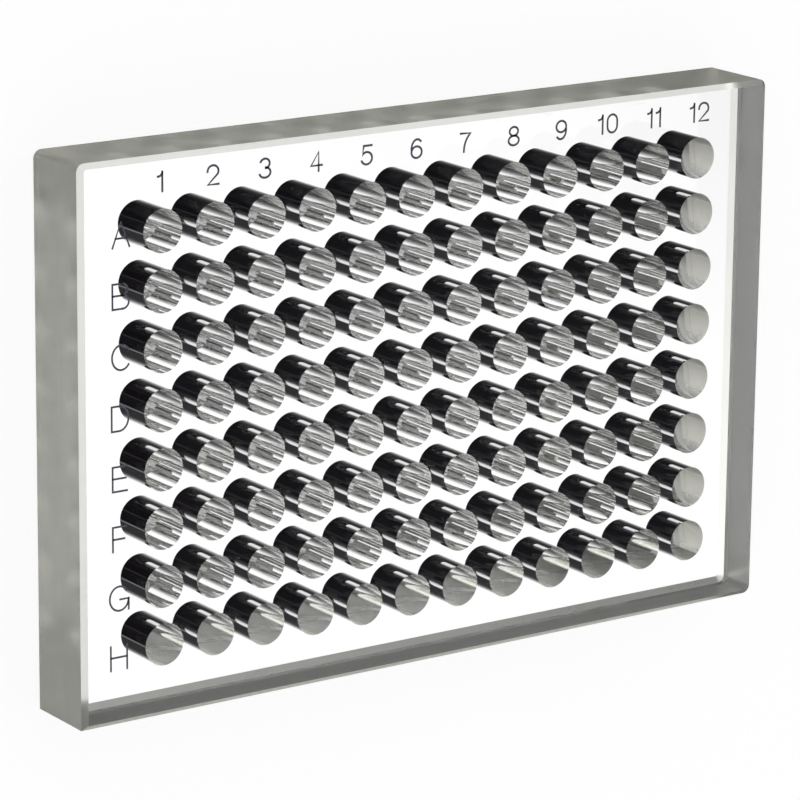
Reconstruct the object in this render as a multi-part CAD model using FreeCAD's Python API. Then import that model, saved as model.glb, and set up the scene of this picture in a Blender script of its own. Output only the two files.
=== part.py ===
"""A clear microplate of fused quartz: a drilled block with a thin plate fused under it.

Millimetres, +Z up. The plate lies on its back face with the wells opening upwards.
Columns run along +X and rows along Y, the first row on the +Y side. The origin is
the middle of the back face.
"""
import FreeCAD, Part
import os

# Well grid
COLUMNS = 12
ROWS = 8
WELL_PITCH = 9.0
WELL_DIAMETER = 6.6
WELL_DEPTH = 11.6

# From the centres of the outer wells to the ground edge faces
END_MARGIN = 14.0
SIDE_MARGIN = 11.25

# Quartz under the wells
BASE_THICKNESS = 2.4

# Flat ground chamfers round the mouth and back faces
MOUTH_CHAMFER = 0.8
BACK_CHAMFER = 1.0

# The upright corners are rounded, but for a sharp one beside the last row's first well
CORNER_RADIUS = 1.3

# How far a cutting tool runs past the faces that it cuts
RUN_OUT = 1.0

GRID_LENGTH = (COLUMNS - 1) * WELL_PITCH
GRID_WIDTH = (ROWS - 1) * WELL_PITCH
PLATE_LENGTH = GRID_LENGTH + 2 * END_MARGIN
PLATE_WIDTH = GRID_WIDTH + 2 * SIDE_MARGIN
PLATE_HEIGHT = BASE_THICKNESS + WELL_DEPTH
UP = FreeCAD.Vector(0, 0, 1)


def slab(bottom, top):
    """A flat slab with the plate's outline, three of its upright corners rounded."""
    corner = FreeCAD.Vector(-PLATE_LENGTH / 2, -PLATE_WIDTH / 2, bottom)
    block = Part.makeBox(PLATE_LENGTH, PLATE_WIDTH, top - bottom, corner)
    uprights = [e for e in block.Edges if abs(e.tangentAt(e.FirstParameter).z) > 0.5]
    rounded = [e for e in uprights if e.CenterOfMass.x > 0 or e.CenterOfMass.y > 0]
    return block.makeFillet(CORNER_RADIUS, rounded)


def rim(shape, height):
    """The edges that run round the slab's outline at one height."""
    return [e for e in shape.Edges if e.BoundBox.ZMin > height - 0.01 and e.BoundBox.ZMax < height + 0.01]


def well_centres():
    """The wells' axes where they meet the fused seam, row by row."""
    for row in range(ROWS):
        for column in range(COLUMNS):
            x = column * WELL_PITCH - GRID_LENGTH / 2
            y = GRID_WIDTH / 2 - row * WELL_PITCH
            yield FreeCAD.Vector(x, y, BASE_THICKNESS)


def well_drill(centre):
    """The tool that drills one well right through the block."""
    start = centre - UP * RUN_OUT
    return Part.makeCylinder(WELL_DIAMETER / 2, WELL_DEPTH + 2 * RUN_OUT, start, UP)


def well_block():
    """The thick upper block: wells drilled through it, mouth edges chamfered."""
    block = slab(BASE_THICKNESS, PLATE_HEIGHT)
    block = block.makeChamfer(MOUTH_CHAMFER, rim(block, PLATE_HEIGHT))
    return block.cut([well_drill(centre) for centre in well_centres()])


def base_plate():
    """The thin plate fused under the block, which closes every well flat."""
    plate = slab(0, BASE_THICKNESS)
    return plate.makeChamfer(BACK_CHAMFER, rim(plate, 0))


os.makedirs("parts", exist_ok=True)
for name, make in {"well_block": well_block, "base_plate": base_plate}.items():
    shape = make()
    shape.exportStep(f"parts/{name}.step")
    solids, volume = len(shape.Solids), shape.Volume / 1000
    print(f"{name}: {solids} solid, {volume:.2f} cubic centimetres")
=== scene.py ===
import bpy
import bmesh
import math
from mathutils import Matrix, Vector, geometry


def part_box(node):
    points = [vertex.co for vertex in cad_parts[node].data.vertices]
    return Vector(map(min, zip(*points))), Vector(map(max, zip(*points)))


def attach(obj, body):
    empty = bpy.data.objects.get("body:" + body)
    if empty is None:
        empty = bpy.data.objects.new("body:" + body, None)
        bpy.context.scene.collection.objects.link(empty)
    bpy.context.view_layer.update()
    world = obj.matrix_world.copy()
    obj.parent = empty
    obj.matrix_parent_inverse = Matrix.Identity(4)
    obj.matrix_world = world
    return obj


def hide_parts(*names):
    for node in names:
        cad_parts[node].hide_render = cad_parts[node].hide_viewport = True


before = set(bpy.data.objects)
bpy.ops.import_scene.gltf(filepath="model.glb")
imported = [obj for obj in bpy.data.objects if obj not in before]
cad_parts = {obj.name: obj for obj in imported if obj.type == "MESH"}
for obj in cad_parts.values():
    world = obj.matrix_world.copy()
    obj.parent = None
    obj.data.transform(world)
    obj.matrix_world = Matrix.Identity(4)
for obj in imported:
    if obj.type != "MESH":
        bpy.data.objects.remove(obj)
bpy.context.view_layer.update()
mm = 0.001

# The quartz plate. Its thick block of clear fused quartz has the wells drilled right through it,
# and a thin plate is fused under it and closes them, so that light meets one body with no joint.
# The mouth and back faces are polished, and the edge faces and their chamfers are ground. Three
# of the upright corners are rounded, and the one beside the last row's first well is sharp.
block_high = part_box("well_block")[1]
seam_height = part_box("base_plate")[1].z
mouth_height = block_high.z
well_rows = 8
well_columns = 12
well_pitch = 9.0 * mm
well_radius = 3.3 * mm
well_facets = 96
corner_radius = 1.3 * mm
arc_step = 10
mouth_chamfer = 0.8 * mm
back_chamfer = 1.0 * mm
seam_half_width = 0.06 * mm
seam_depth = 0.03 * mm
sharp_edge = math.radians(25)
chamfer_tilt = 0.3


def arc(centre, size, start, end):
    """Points round part of an ellipse, from one angle in degrees to the other."""
    steps = math.ceil(abs(end - start) / arc_step)
    turns = [math.radians(start + (end - start) * step / steps) for step in range(steps + 1)]
    return [(centre[0] + size[0] * math.cos(t), centre[1] + size[1] * math.sin(t)) for t in turns]


def outline_ring(body, inset, height):
    """The plate's outline, moved in by inset, at one height."""
    radius = corner_radius - inset
    x = block_high.x - corner_radius
    y = block_high.y - corner_radius
    outline = arc((x, y), (radius, radius), 0, 90) + arc((-x, y), (radius, radius), 90, 180)
    outline += [(-x - radius, -y - radius)] + arc((x, -y), (radius, radius), 270, 360)
    return [body.verts.new((x, y, height)) for x, y in outline]


def well_ring(body, centre, height):
    """The circle of one well's wall at one height."""
    ring = []
    for step in range(well_facets):
        turn = step * math.tau / well_facets
        x = centre.x + well_radius * math.cos(turn)
        y = centre.y + well_radius * math.sin(turn)
        ring.append(body.verts.new((x, y, height)))
    return ring


def join_rings(body, lower, upper, finish, inwards=False):
    """A band of faces between two rings, facing out of the plate, or into a well."""
    for here in range(len(lower)):
        after = (here + 1) % len(lower)
        corners = [lower[here], lower[after], upper[after], upper[here]]
        face = body.faces.new(corners[::-1] if inwards else corners)
        face.material_index = finish


def well_centre(row, column):
    """A well's axis in the grid, which is centred on the plate."""
    x = (column - (well_columns - 1) / 2) * well_pitch
    y = ((well_rows - 1) / 2 - row) * well_pitch
    return Vector((x, y, 0))


# The profile goes up the plate's edge. Each row has the inset, the height and the finish above it.
polished, ground, chamfered = range(3)
body = bmesh.new()
profile = [
    (back_chamfer, 0, chamfered),
    (0, back_chamfer, ground),
    (0, seam_height - seam_half_width, ground),
    (seam_depth, seam_height, ground),
    (0, seam_height + seam_half_width, ground),
    (0, mouth_height - mouth_chamfer, chamfered),
    (mouth_chamfer, mouth_height, polished),
]
rings = [outline_ring(body, inset, height) for inset, height, _ in profile]
for lower, upper, (_, _, finish) in zip(rings, rings[1:], profile):
    join_rings(body, lower, upper, finish)
body.faces.new(rings[0][::-1])

mouths = []
for row in range(well_rows):
    for column in range(well_columns):
        centre = well_centre(row, column)
        bottom = well_ring(body, centre, seam_height)
        mouths.append(well_ring(body, centre, mouth_height))
        join_rings(body, bottom, mouths[-1], polished, inwards=True)
        body.faces.new(bottom)

# The mouth face fills what the wells leave. The two mouth chamfers that look away, on the last
# column's and the last row's sides, are given the darker ground finish as painted shade.
mouth_loops = [rings[-1]] + [mouth[::-1] for mouth in mouths]
mouth_points = [vertex for loop in mouth_loops for vertex in loop]
for triangle in geometry.tessellate_polygon([[v.co for v in loop] for loop in mouth_loops]):
    body.faces.new([mouth_points[i] for i in triangle])
body.normal_update()
for face in body.faces:
    if face.normal.z < 0 and face.calc_center_median().z > mouth_height - 1e-6:
        face.normal_flip()
    face.smooth = True
for face in body.faces:
    # Painted shade: mouth chamfers that tilt towards +X or -Y take the darker ground material in
    # place of the shade that falls on them.
    gets_painted_shade = face.normal.x > chamfer_tilt or face.normal.y < -chamfer_tilt
    if face.material_index == chamfered and face.normal.z > 0 and gets_painted_shade:
        face.material_index = ground
for edge in body.edges:
    edge.smooth = edge.calc_face_angle(0) < sharp_edge

plate_mesh = bpy.data.meshes.new("quartz_plate")
body.to_mesh(plate_mesh)
body.free()
quartz_plate = bpy.data.objects.new("quartz_plate", plate_mesh)
bpy.context.collection.objects.link(quartz_plate)
flat_faces = quartz_plate.modifiers.new("flat_faces", "WEIGHTED_NORMAL")
flat_faces.keep_sharp = True

quartz_index = 1.458
clearest_tint = (0.99, 0.993, 0.99, 1)
faintest_tint = (0.98, 0.986, 0.98, 1)
wave_height = 0.0004 * mm
ground_dark = (0.29, 0.29, 0.232, 1)
ground_light = (0.36, 0.36, 0.293, 1)
ground_roughness = (0.36, 0.46)
mark_height = 0.004 * mm
chamfer_dark = (0.64, 0.64, 0.59, 1)
chamfer_light = (0.76, 0.76, 0.7, 1)
chamfer_roughness = (0.26, 0.36)


def node(tree, kind, **settings):
    """A shader node with its settings."""
    made = tree.nodes.new(kind)
    for name, value in settings.items():
        setattr(made, name, value)
    return made


def feed(tree, socket, value):
    """Sets a socket to a number, or links an output to it."""
    if isinstance(value, bpy.types.NodeSocket):
        tree.links.new(value, socket)
    else:
        socket.default_value = value


def math_node(tree, operation, *values):
    """The output of a Math node fed by outputs or numbers."""
    made = node(tree, "ShaderNodeMath", operation=operation)
    for socket, value in zip(made.inputs, values):
        feed(tree, socket, value)
    return made.outputs[0]


def ramp(tree, value, start, end, low=0.0, high=1.0):
    """A smooth climb from low to high while the value goes from start to end."""
    made = node(tree, "ShaderNodeMapRange", interpolation_type="SMOOTHSTEP")
    names = ("Value", "From Min", "From Max", "To Min", "To Max")
    for name, number in zip(names, (value, start, end, low, high)):
        feed(tree, made.inputs[name], number)
    return made.outputs[0]


def blend(tree, factor, first, second):
    """A plain mix of two levels."""
    made = node(tree, "ShaderNodeMix", data_type="FLOAT")
    for name, value in zip(("Factor", "A", "B"), (factor, first, second)):
        feed(tree, made.inputs[name], value)
    return made.outputs[0]


def new_material(name):
    """A node material, its tree and its Principled shader."""
    material = bpy.data.materials.new(name)
    material.use_nodes = True
    tree = material.node_tree
    return material, tree, tree.nodes["Principled BSDF"]


def new_group(name, **outputs):
    """An empty node group with its named outputs: its tree and the node that they are fed to."""
    tree = bpy.data.node_groups.new(name, "ShaderNodeTree")
    for label, kind in outputs.items():
        tree.interface.new_socket(label, in_out="OUTPUT", socket_type="NodeSocket" + kind)
    return tree, node(tree, "NodeGroupOutput")


def noise(tree, cycles, detail=2):
    """Soft noise from 0 to 1, with its cycles per metre along the object's own axes."""
    place = node(tree, "ShaderNodeTexCoord").outputs["Object"]
    stretched = node(tree, "ShaderNodeVectorMath", operation="MULTIPLY")
    feed(tree, stretched.inputs[0], place)
    stretched.inputs[1].default_value = cycles
    made = node(tree, "ShaderNodeTexNoise")
    feed(tree, made.inputs["Vector"], stretched.outputs[0])
    made.inputs["Scale"].default_value = 1
    made.inputs["Detail"].default_value = detail
    return made.outputs[0]


def tint(tree, factor, first, second):
    """A colour between two, by a factor."""
    made = node(tree, "ShaderNodeMix", data_type="RGBA")
    feed(tree, made.inputs["Factor"], factor)
    made.inputs[6].default_value = first
    made.inputs[7].default_value = second
    return made.outputs[2]


def relief(tree, height, depth):
    """The normal of a surface whose height varies by depth."""
    made = node(tree, "ShaderNodeBump")
    made.inputs["Distance"].default_value = depth
    feed(tree, made.inputs["Height"], height)
    return made.outputs["Normal"]


# Polishing leaves slow waves a few millimetres wide, and a hint of them in the tint.
polish, result = new_group("polish", Colour="Color", Normal="Vector")
waves = noise(polish, (260, 260, 160))
feed(polish, result.inputs["Colour"], tint(polish, waves, faintest_tint, clearest_tint))
feed(polish, result.inputs["Normal"], relief(polish, waves, wave_height))

# Grinding leaves fine marks along the edge faces, a close grain and soft patches.
mark_share = 0.5
grain_share = 0.3
patch_share = 0.9
tone_start = 0.5
tone_full = 1.2
grinding, result = new_group("grinding", Tone="Float", Normal="Vector")
marks = noise(grinding, (60, 60, 2600), 4)
grain = noise(grinding, (6000, 6000, 6000))
patches = noise(grinding, (110, 110, 240), 3)
marks = math_node(grinding, "MULTIPLY", marks, mark_share)
grain = math_node(grinding, "MULTIPLY", grain, grain_share)
fine = math_node(grinding, "ADD", marks, grain)
tone = math_node(grinding, "ADD", fine, math_node(grinding, "MULTIPLY", patches, patch_share))
feed(grinding, result.inputs["Tone"], ramp(grinding, tone, tone_start, tone_full))
feed(grinding, result.inputs["Normal"], relief(grinding, fine, mark_height))


def quartz_finish(name, group, transmission):
    """A quartz material and a node of the group that varies it."""
    material, tree, shader = new_material(name)
    shader.inputs["Transmission Weight"].default_value = transmission
    shader.inputs["IOR"].default_value = quartz_index
    detail = node(tree, "ShaderNodeGroup", node_tree=group)
    feed(tree, shader.inputs["Normal"], detail.outputs["Normal"])
    return material, tree, shader, detail


polished_quartz, tree, shader, detail = quartz_finish("polished_quartz", polish, 1.0)
shader.inputs["Roughness"].default_value = 0.0
feed(tree, shader.inputs["Base Color"], detail.outputs["Colour"])

ground_quartz, tree, shader, detail = quartz_finish("ground_quartz", grinding, 0.93)
tone = detail.outputs["Tone"]
feed(tree, shader.inputs["Base Color"], tint(tree, tone, ground_dark, ground_light))
feed(tree, shader.inputs["Roughness"], blend(tree, tone, *ground_roughness))

chamfer_quartz, tree, shader, detail = quartz_finish("chamfer_quartz", grinding, 1.0)
tone = detail.outputs["Tone"]
feed(tree, shader.inputs["Base Color"], tint(tree, tone, chamfer_dark, chamfer_light))
feed(tree, shader.inputs["Roughness"], blend(tree, tone, *chamfer_roughness))

for material in (polished_quartz, ground_quartz, chamfer_quartz):
    plate_mesh.materials.append(material)
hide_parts("well_block", "base_plate")
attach(quartz_plate, "root")

# The column numbers: thin ink, screen printed on the mouth face above the first row. Each
# character is drawn with plain round-cornered strokes of one width and sits over its column.
ink_thickness = 0.01 * mm
ink_cover = 0.004 * mm
ink_top = mouth_height - ink_cover
longest_mitre = 1.4
digit_height = 2.85 * mm
digit_stroke = 0.35 * mm
digit_gap = 0.33
first_number = Vector((-49.93, 38.85)) * mm
last_number = Vector((49.63, 38.85)) * mm


def mitre(before, here, after):
    """The sideways step that keeps a stroke's width where its line turns."""
    arriving = (here - before).normalized()
    leaving = (after - here).normalized()
    side = Vector((-arriving.y - leaving.y, arriving.x + leaving.x)).normalized()
    return side * min(longest_mitre, 1 / max(0.1, side.dot(Vector((-arriving.y, arriving.x)))))


def print_stroke(body, points, width):
    """A thin flat stroke of ink along a line of points, a loop if its ends meet."""
    looped = (points[0] - points[-1]).length < 1e-6
    if looped:
        points = points[:-1]
    else:
        start = points[0] + (points[0] - points[1]).normalized() * width / 2
        end = points[-1] + (points[-1] - points[-2]).normalized() * width / 2
        points = [start] + points[1:-1] + [end]
    last = len(points) - 1
    sections = []
    for i, here in enumerate(points):
        before = points[i - 1] if i or looped else here * 2 - points[1]
        after = points[(i + 1) % len(points)] if i < last or looped else here * 2 - points[i - 1]
        step = mitre(before, here, after) * width / 2
        left = here + step
        right = here - step
        edges = [(left, 0), (right, 0), (right, ink_thickness), (left, ink_thickness)]
        sections.append([body.verts.new((p.x, p.y, ink_top - depth)) for p, depth in edges])
    joints = list(zip(sections, sections[1:]))
    if looped:
        joints.append((sections[-1], sections[0]))
    for first, second in joints:
        for i in range(4):
            j = (i + 1) % 4
            body.faces.new((first[i], first[j], second[j], second[i]))
    if not looped:
        body.faces.new(sections[0][::-1])
        body.faces.new(sections[-1])


def print_label(body, characters, middle, height, width, gap):
    """One or more characters side by side, centred on a point, each a list of strokes."""
    left = 0
    strokes = []
    for character in characters:
        start = min(x for stroke in character for x, _ in stroke)
        strokes += [[Vector((x - start + left, y)) for x, y in stroke] for stroke in character]
        left = max(point.x for stroke in strokes for point in stroke) + gap
    shift = Vector(((gap - left) / 2, -0.5))
    for stroke in strokes:
        print_stroke(body, [middle + (point + shift) * height for point in stroke], width)


def label_piece(name, body):
    """The finished print as one piece on the plate."""
    bmesh.ops.recalc_face_normals(body, faces=body.faces)
    mesh = bpy.data.meshes.new(name)
    body.to_mesh(mesh)
    body.free()
    piece = bpy.data.objects.new(name, mesh)
    bpy.context.collection.objects.link(piece)
    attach(piece, "root")
    return piece


digits = {
    "0": [
        arc((0.33, 0.64), (0.33, 0.36), 0, 180)
        + arc((0.33, 0.36), (0.33, 0.36), 180, 360)
        + [(0.66, 0.64)]
    ],
    "1": [[(0.26, 0), (0.26, 1)], arc((0, 1), (0.26, 0.23), 0, -90)],
    "2": [arc((0.33, 0.69), (0.33, 0.31), 180, -30) + [(0.02, 0), (0.66, 0)]],
    "3": [arc((0.31, 0.745), (0.29, 0.255), 155, -80), arc((0.31, 0.27), (0.34, 0.27), 80, -160)],
    "4": [[(0.48, 0), (0.48, 1), (0, 0.29), (0.68, 0.29)]],
    "5": [[(0.62, 1), (0.12, 1), (0.05, 0.5)] + arc((0.31, 0.33), (0.34, 0.33), 130, -155)],
    "6": [arc((0.33, 0.31), (0.33, 0.31), 0, 360), arc((0.36, 0.5), (0.36, 0.5), 180, 50)],
    "7": [[(0, 1)] + arc((1.16, 0), (0.94, 1.16), 123, 180)],
    "8": [arc((0.33, 0.76), (0.28, 0.24), 0, 360), arc((0.33, 0.26), (0.34, 0.26), 0, 360)],
    "9": [arc((0.33, 0.69), (0.33, 0.31), 0, 360), arc((0.30, 0.5), (0.36, 0.5), 0, -130)],
}
body = bmesh.new()
for column in range(well_columns):
    middle = first_number.lerp(last_number, column / (well_columns - 1))
    label = [digits[digit] for digit in str(column + 1)]
    print_label(body, label, middle, digit_height, digit_stroke, digit_gap)
column_numbers = label_piece("column_numbers", body)

# The row letters: the same ink and strokes, a little taller, in a line beside the first column.
letter_height = 3.74 * mm
letter_stroke = 0.31 * mm
first_letter = Vector((-56.6, 31.8)) * mm
last_letter = Vector((-57.4, -32.2)) * mm
letters = [
    [[(0, 0), (0.38, 1), (0.76, 0)], [(0.135, 0.355), (0.625, 0.355)]],
    [
        [(0.42, 1), (0, 1), (0, 0), (0.46, 0)] + arc((0.46, 0.265), (0.28, 0.265), -90, 90),
        [(0, 0.53), (0.46, 0.53)],
        arc((0.42, 0.765), (0.26, 0.235), 90, -90),
    ],
    [arc((0.42, 0.5), (0.42, 0.5), 38, 322)],
    [[(0.34, 0), (0, 0), (0, 1), (0.34, 1)] + arc((0.34, 0.5), (0.42, 0.5), 90, -90)],
    [[(0.65, 1), (0, 1), (0, 0), (0.65, 0)], [(0, 0.52), (0.6, 0.52)]],
    [[(0.607, 1), (0, 1), (0, 0)], [(0, 0.5), (0.53, 0.5)]],
    [
        arc((0.44, 0.5), (0.44, 0.5), 38, 325) + [(0.87, 0.46), (0.48, 0.46)],
        [(0.87, 0.46), (0.87, 0.02)],
    ],
    [[(0, 0), (0, 1)], [(0.748, 0), (0.748, 1)], [(0, 0.52), (0.748, 0.52)]],
]
body = bmesh.new()
for row, letter in enumerate(letters):
    middle = first_letter.lerp(last_letter, row / (well_rows - 1))
    print_label(body, [letter], middle, letter_height, letter_stroke, 0)
row_letters = label_piece("row_letters", body)

# The ink is a little uneven, as it comes through the mesh of a screen.
ink_thin = (0.19, 0.175, 0.235, 1)
ink_full = (0.14, 0.127, 0.18, 1)
ink_roughness = 0.6
broad_share = 0.6
cover_start = 0.55
cover_full = 1.05
ink, tree, shader = new_material("printed_ink")
close_mesh = noise(tree, (7000, 7000, 1))
broad_mesh = math_node(tree, "MULTIPLY", noise(tree, (900, 900, 1)), broad_share)
cover = math_node(tree, "ADD", close_mesh, broad_mesh)
cover = ramp(tree, cover, cover_start, cover_full)
feed(tree, shader.inputs["Base Color"], tint(tree, cover, ink_thin, ink_full))
shader.inputs["Roughness"].default_value = ink_roughness
for piece in (column_numbers, row_letters):
    piece.data.materials.append(ink)

# The floor is a pale sweep that the plate lies on, a hair below the back face so that air is
# left under the quartz. Light that has passed through the quartz goes on to the backdrop.
floor_gap = 0.1 * mm
floor_half = 20.0
floor_dark = (0.95, 0.95, 0.95, 1)
floor_light = (0.99, 0.99, 0.99, 1)
floor_roughness = 0.9
floor_whiteness = 0.88
floor_mesh = bpy.data.meshes.new("floor")
corners = [
    (-floor_half, -floor_half),
    (floor_half, -floor_half),
    (floor_half, floor_half),
    (-floor_half, floor_half),
]
floor_mesh.from_pydata([(x, y, -floor_gap) for x, y in corners], [], [(0, 1, 2, 3)])
floor = bpy.data.objects.new("floor", floor_mesh)
bpy.context.collection.objects.link(floor)


def through_quartz(tree, path):
    """1 for a ray that the quartz has passed on or mirrored and nothing has scattered, else 0."""
    passed = path.outputs["Is Transmission Ray"]
    clear = math_node(tree, "MAXIMUM", passed, path.outputs["Is Glossy Ray"])
    unscattered = math_node(tree, "LESS_THAN", path.outputs["Diffuse Depth"], 0.5)
    return math_node(tree, "MULTIPLY", clear, unscattered)


floor_material, tree, shader = new_material("pale_floor")
floor_fibres = noise(tree, (1500, 1500, 1), 3)
feed(tree, shader.inputs["Base Color"], tint(tree, floor_fibres, floor_dark, floor_light))
shader.inputs["Roughness"].default_value = floor_roughness
shader.inputs["Specular IOR Level"].default_value = 0.0
output = tree.nodes["Material Output"]
path = node(tree, "ShaderNodeLightPath")
white = node(tree, "ShaderNodeEmission")
white.inputs["Strength"].default_value = 1.0
lit = node(tree, "ShaderNodeMixShader")
whitened = math_node(tree, "MULTIPLY", path.outputs["Is Camera Ray"], floor_whiteness)
tree.links.new(whitened, lit.inputs[0])
tree.links.new(shader.outputs[0], lit.inputs[1])
tree.links.new(white.outputs[0], lit.inputs[2])
clear_away = node(tree, "ShaderNodeBsdfTransparent")
seen = node(tree, "ShaderNodeMixShader")
tree.links.new(through_quartz(tree, path), seen.inputs[0])
tree.links.new(lit.outputs[0], seen.inputs[1])
tree.links.new(clear_away.outputs[0], seen.inputs[2])
tree.links.new(seen.outputs[0], output.inputs["Surface"])
floor_mesh.materials.append(floor_material)

# The studio. Scattered light comes from all round at a plain level, and a camera ray sees white.
# The quartz shows a soft white backdrop behind the plate, a room that is dark beyond the first
# row's side and dim elsewhere, with two thin bright edges, all of which its well walls mirror.
backdrop_slope = -0.793
backdrop_azimuth = -30.5
backdrop_deep_azimuth = -62.5
backdrop_core = 8
backdrop_reach = 48
backdrop_twice = 0.82
backdrop_through = 1.25
clear_direction = Vector((0.493, -0.358, -0.793))
clear_level = 1.09
clear_edge_level = 0.98
clear_core = 9
clear_reach = 13
dark_level = 0.004
dark_tint = (1, 0.85, 1.1, 1)
dark_tint_reach = 0.05
plain_white = (1, 1, 1, 1)
dim_level = 0.028
dim_azimuth = -51
dim_start = -0.26
bright_edges = [(-152, 6, 0.17), (150, 6, 0.02)]
frosted_low = 0.25
frosted_start = -0.45
frosted_full = -0.65
frosted_level = 1.42
frosted_table = 0.75
frosted_beyond = 0.3
frosted_last = 0.48
frosted_below = 0.5
horizon_level = 0.8
horizon_top = 0.4
overhead_low = 0.12
overhead_high = 1.4
overhead_start = 0.45
overhead_full = 0.65
overhead_pattern = 12
overhead_borders = (0.44, 0.56)
overhead_glance = 0.08
fill_once = 0.19
fill_level = 0.65
fill_start = 0.05
fill_full = 0.12
world = bpy.data.worlds.new("studio")
bpy.context.scene.world = world
world.use_nodes = True
tree = world.node_tree
background = tree.nodes["Background"]
path = node(tree, "ShaderNodeLightPath")
direction = node(tree, "ShaderNodeTexCoord").outputs["Generated"]
parts = node(tree, "ShaderNodeSeparateXYZ")
feed(tree, parts.inputs[0], direction)
east, north, up = parts.outputs


def facing(tree, direction, axis):
    """The cosine between the ray's direction and an axis."""
    made = node(tree, "ShaderNodeVectorMath", operation="DOT_PRODUCT")
    feed(tree, made.inputs[0], direction)
    made.inputs[1].default_value = axis.normalized()
    return made.outputs["Value"]


def away_from(tree, direction, axis):
    """The angle between the ray's direction and an axis."""
    return math_node(tree, "ARCCOSINE", facing(tree, direction, axis))


def level_axis(azimuth, slope=0.0):
    """The unit vector with an azimuth in degrees and a height."""
    flat = math.sqrt(1 - slope * slope)
    turn = math.radians(azimuth)
    return Vector((flat * math.cos(turn), flat * math.sin(turn), slope))


# What the well walls mirror. After a second mirroring the backdrop shows a little further round.
turned_twice = math_node(tree, "GREATER_THAN", path.outputs["Glossy Depth"], 1.5)
through_wells = math_node(tree, "GREATER_THAN", path.outputs["Transmission Depth"], 2.5)
deep = math_node(tree, "MAXIMUM", turned_twice, through_wells)
shallow_angle = away_from(tree, direction, level_axis(backdrop_azimuth, backdrop_slope))
deep_angle = away_from(tree, direction, level_axis(backdrop_deep_azimuth, backdrop_slope))
off_axis = blend(tree, deep, shallow_angle, deep_angle)
backdrop = ramp(tree, off_axis, math.radians(backdrop_reach), math.radians(backdrop_core))
gain = blend(tree, turned_twice, 1.0, backdrop_twice)
gain = blend(tree, through_wells, gain, backdrop_through)
mirrored = math_node(tree, "MULTIPLY", math_node(tree, "POWER", backdrop, 2.0), gain)
dim_side = facing(tree, direction, level_axis(dim_azimuth))
room = ramp(tree, dim_side, dim_start, 0, dark_level, dim_level)
mirrored = math_node(tree, "ADD", mirrored, room)
azimuth = math_node(tree, "ARCTAN2", north, east)
for place, half_width, level in bright_edges:
    turn = math_node(tree, "SUBTRACT", azimuth, math.radians(place))
    distance = math_node(tree, "ABSOLUTE", turn)
    bright_edge = ramp(tree, distance, math.radians(half_width), 0, 0, level)
    mirrored = math_node(tree, "ADD", mirrored, bright_edge)
above = math_node(tree, "GREATER_THAN", up, 0)
horizon = math_node(tree, "MULTIPLY", above, ramp(tree, up, horizon_top, 0, 0, horizon_level))
mirrored = math_node(tree, "ADD", mirrored, horizon)

# Lamps overhead, which only light that has been inside the quartz shows.
lamps = node(tree, "ShaderNodeTexNoise")
feed(tree, lamps.inputs["Vector"], direction)
lamps.inputs["Scale"].default_value = overhead_pattern
lamps.inputs["Detail"].default_value = 1
lamp_level = ramp(tree, lamps.outputs[0], *overhead_borders, overhead_low, overhead_high)
overhead = math_node(tree, "MULTIPLY", ramp(tree, up, overhead_start, overhead_full), lamp_level)
from_inside = math_node(tree, "GREATER_THAN", path.outputs["Transmission Depth"], 0.5)
glanced = math_node(tree, "MULTIPLY", turned_twice, math_node(tree, "SUBTRACT", 1.0, through_wells))
shown = math_node(tree, "MULTIPLY", from_inside, blend(tree, glanced, 1.0, overhead_glance))
mirrored = math_node(tree, "ADD", mirrored, math_node(tree, "MULTIPLY", overhead, shown))

# A plain fill, steeper or flatter than the backdrop, for light that the ground faces threw about.
steepness = math_node(tree, "ABSOLUTE", up)
off_ring = math_node(tree, "ABSOLUTE", math_node(tree, "ADD", steepness, backdrop_slope))
fill = ramp(tree, off_ring, fill_start, fill_full, 0, blend(tree, deep, fill_once, fill_level))
mirrored = math_node(tree, "ADD", mirrored, fill)

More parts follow.
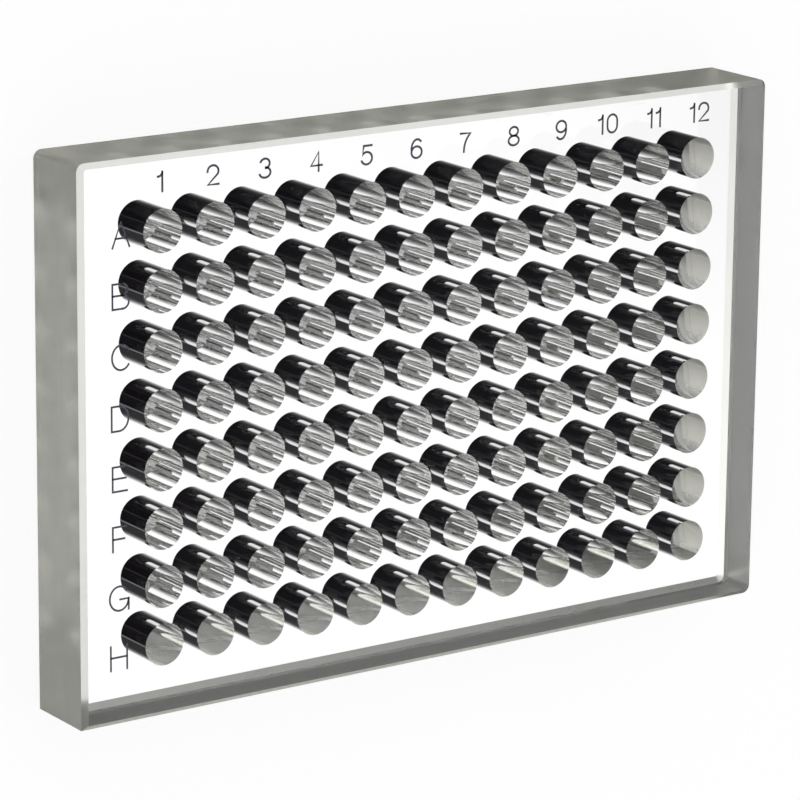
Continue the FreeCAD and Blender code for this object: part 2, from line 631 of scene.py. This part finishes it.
# What the clear quartz shows straight through, and what the ground faces scatter: mostly light
# from below, with a pale table on the last row's side and less light on the other sides.
off_view = away_from(tree, direction, clear_direction)
clear_bounds = (math.radians(clear_reach), math.radians(clear_core))
clear = ramp(tree, off_view, *clear_bounds, clear_edge_level, clear_level)
unturned = math_node(tree, "LESS_THAN", path.outputs["Glossy Depth"], 0.5)
straight = math_node(tree, "MULTIPLY", unturned, math_node(tree, "SUBTRACT", 1.0, through_wells))
sharp = blend(tree, straight, mirrored, clear)
frosted = ramp(tree, up, frosted_start, frosted_full, frosted_low, frosted_level)
table = ramp(tree, north, 0, -0.6, 0, frosted_table)
table = math_node(tree, "MULTIPLY", table, ramp(tree, up, 0.3, -0.1))
frosted = math_node(tree, "ADD", frosted, table)
frosted = math_node(tree, "MULTIPLY", frosted, ramp(tree, north, 0, 0.3, 1, frosted_beyond))
frosted = math_node(tree, "MULTIPLY", frosted, ramp(tree, up, -0.9, -1, 1, frosted_below))
frosted = math_node(tree, "MULTIPLY", frosted, ramp(tree, east, 0.1, 0.5, 1, frosted_last))
quartz_level = blend(tree, path.outputs["Is Singular Ray"], frosted, sharp)
level = blend(tree, through_quartz(tree, path), 1.0, quartz_level)
feed(tree, background.inputs["Strength"], level)
untinted = ramp(tree, level, 0, dark_tint_reach)
feed(tree, background.inputs["Color"], tint(tree, untinted, dark_tint, plain_white))
world.cycles.sampling_method = "NONE"
bpy.context.scene.cycles.max_bounces = 48
bpy.context.scene.cycles.glossy_bounces = 32
bpy.context.scene.cycles.transmission_bounces = 32
bpy.context.scene.cycles.transparent_max_bounces = 32

# The camera looks down on the plate from beyond its first column, with the first row uppermost.
camera_data = bpy.data.cameras.new("camera")
camera_data.sensor_width = 36
camera_data.lens = 193.35
camera = bpy.data.objects.new("camera", camera_data)
bpy.context.collection.objects.link(camera)
camera_place = Vector((-369.04, 167.94, 533.51)) * mm
camera_aim = Vector((-7.25, 0.09, 14.0)) * mm
camera_roll = math.radians(-110.80)
look = (camera_aim - camera_place).to_track_quat("-Z", "Y").to_matrix()
look = look @ Matrix.Rotation(-camera_roll, 3, "Z")
camera.matrix_world = Matrix.Translation(camera_place) @ look.to_4x4()
bpy.context.scene.camera = camera
bpy.context.scene.view_settings.view_transform = "Standard"
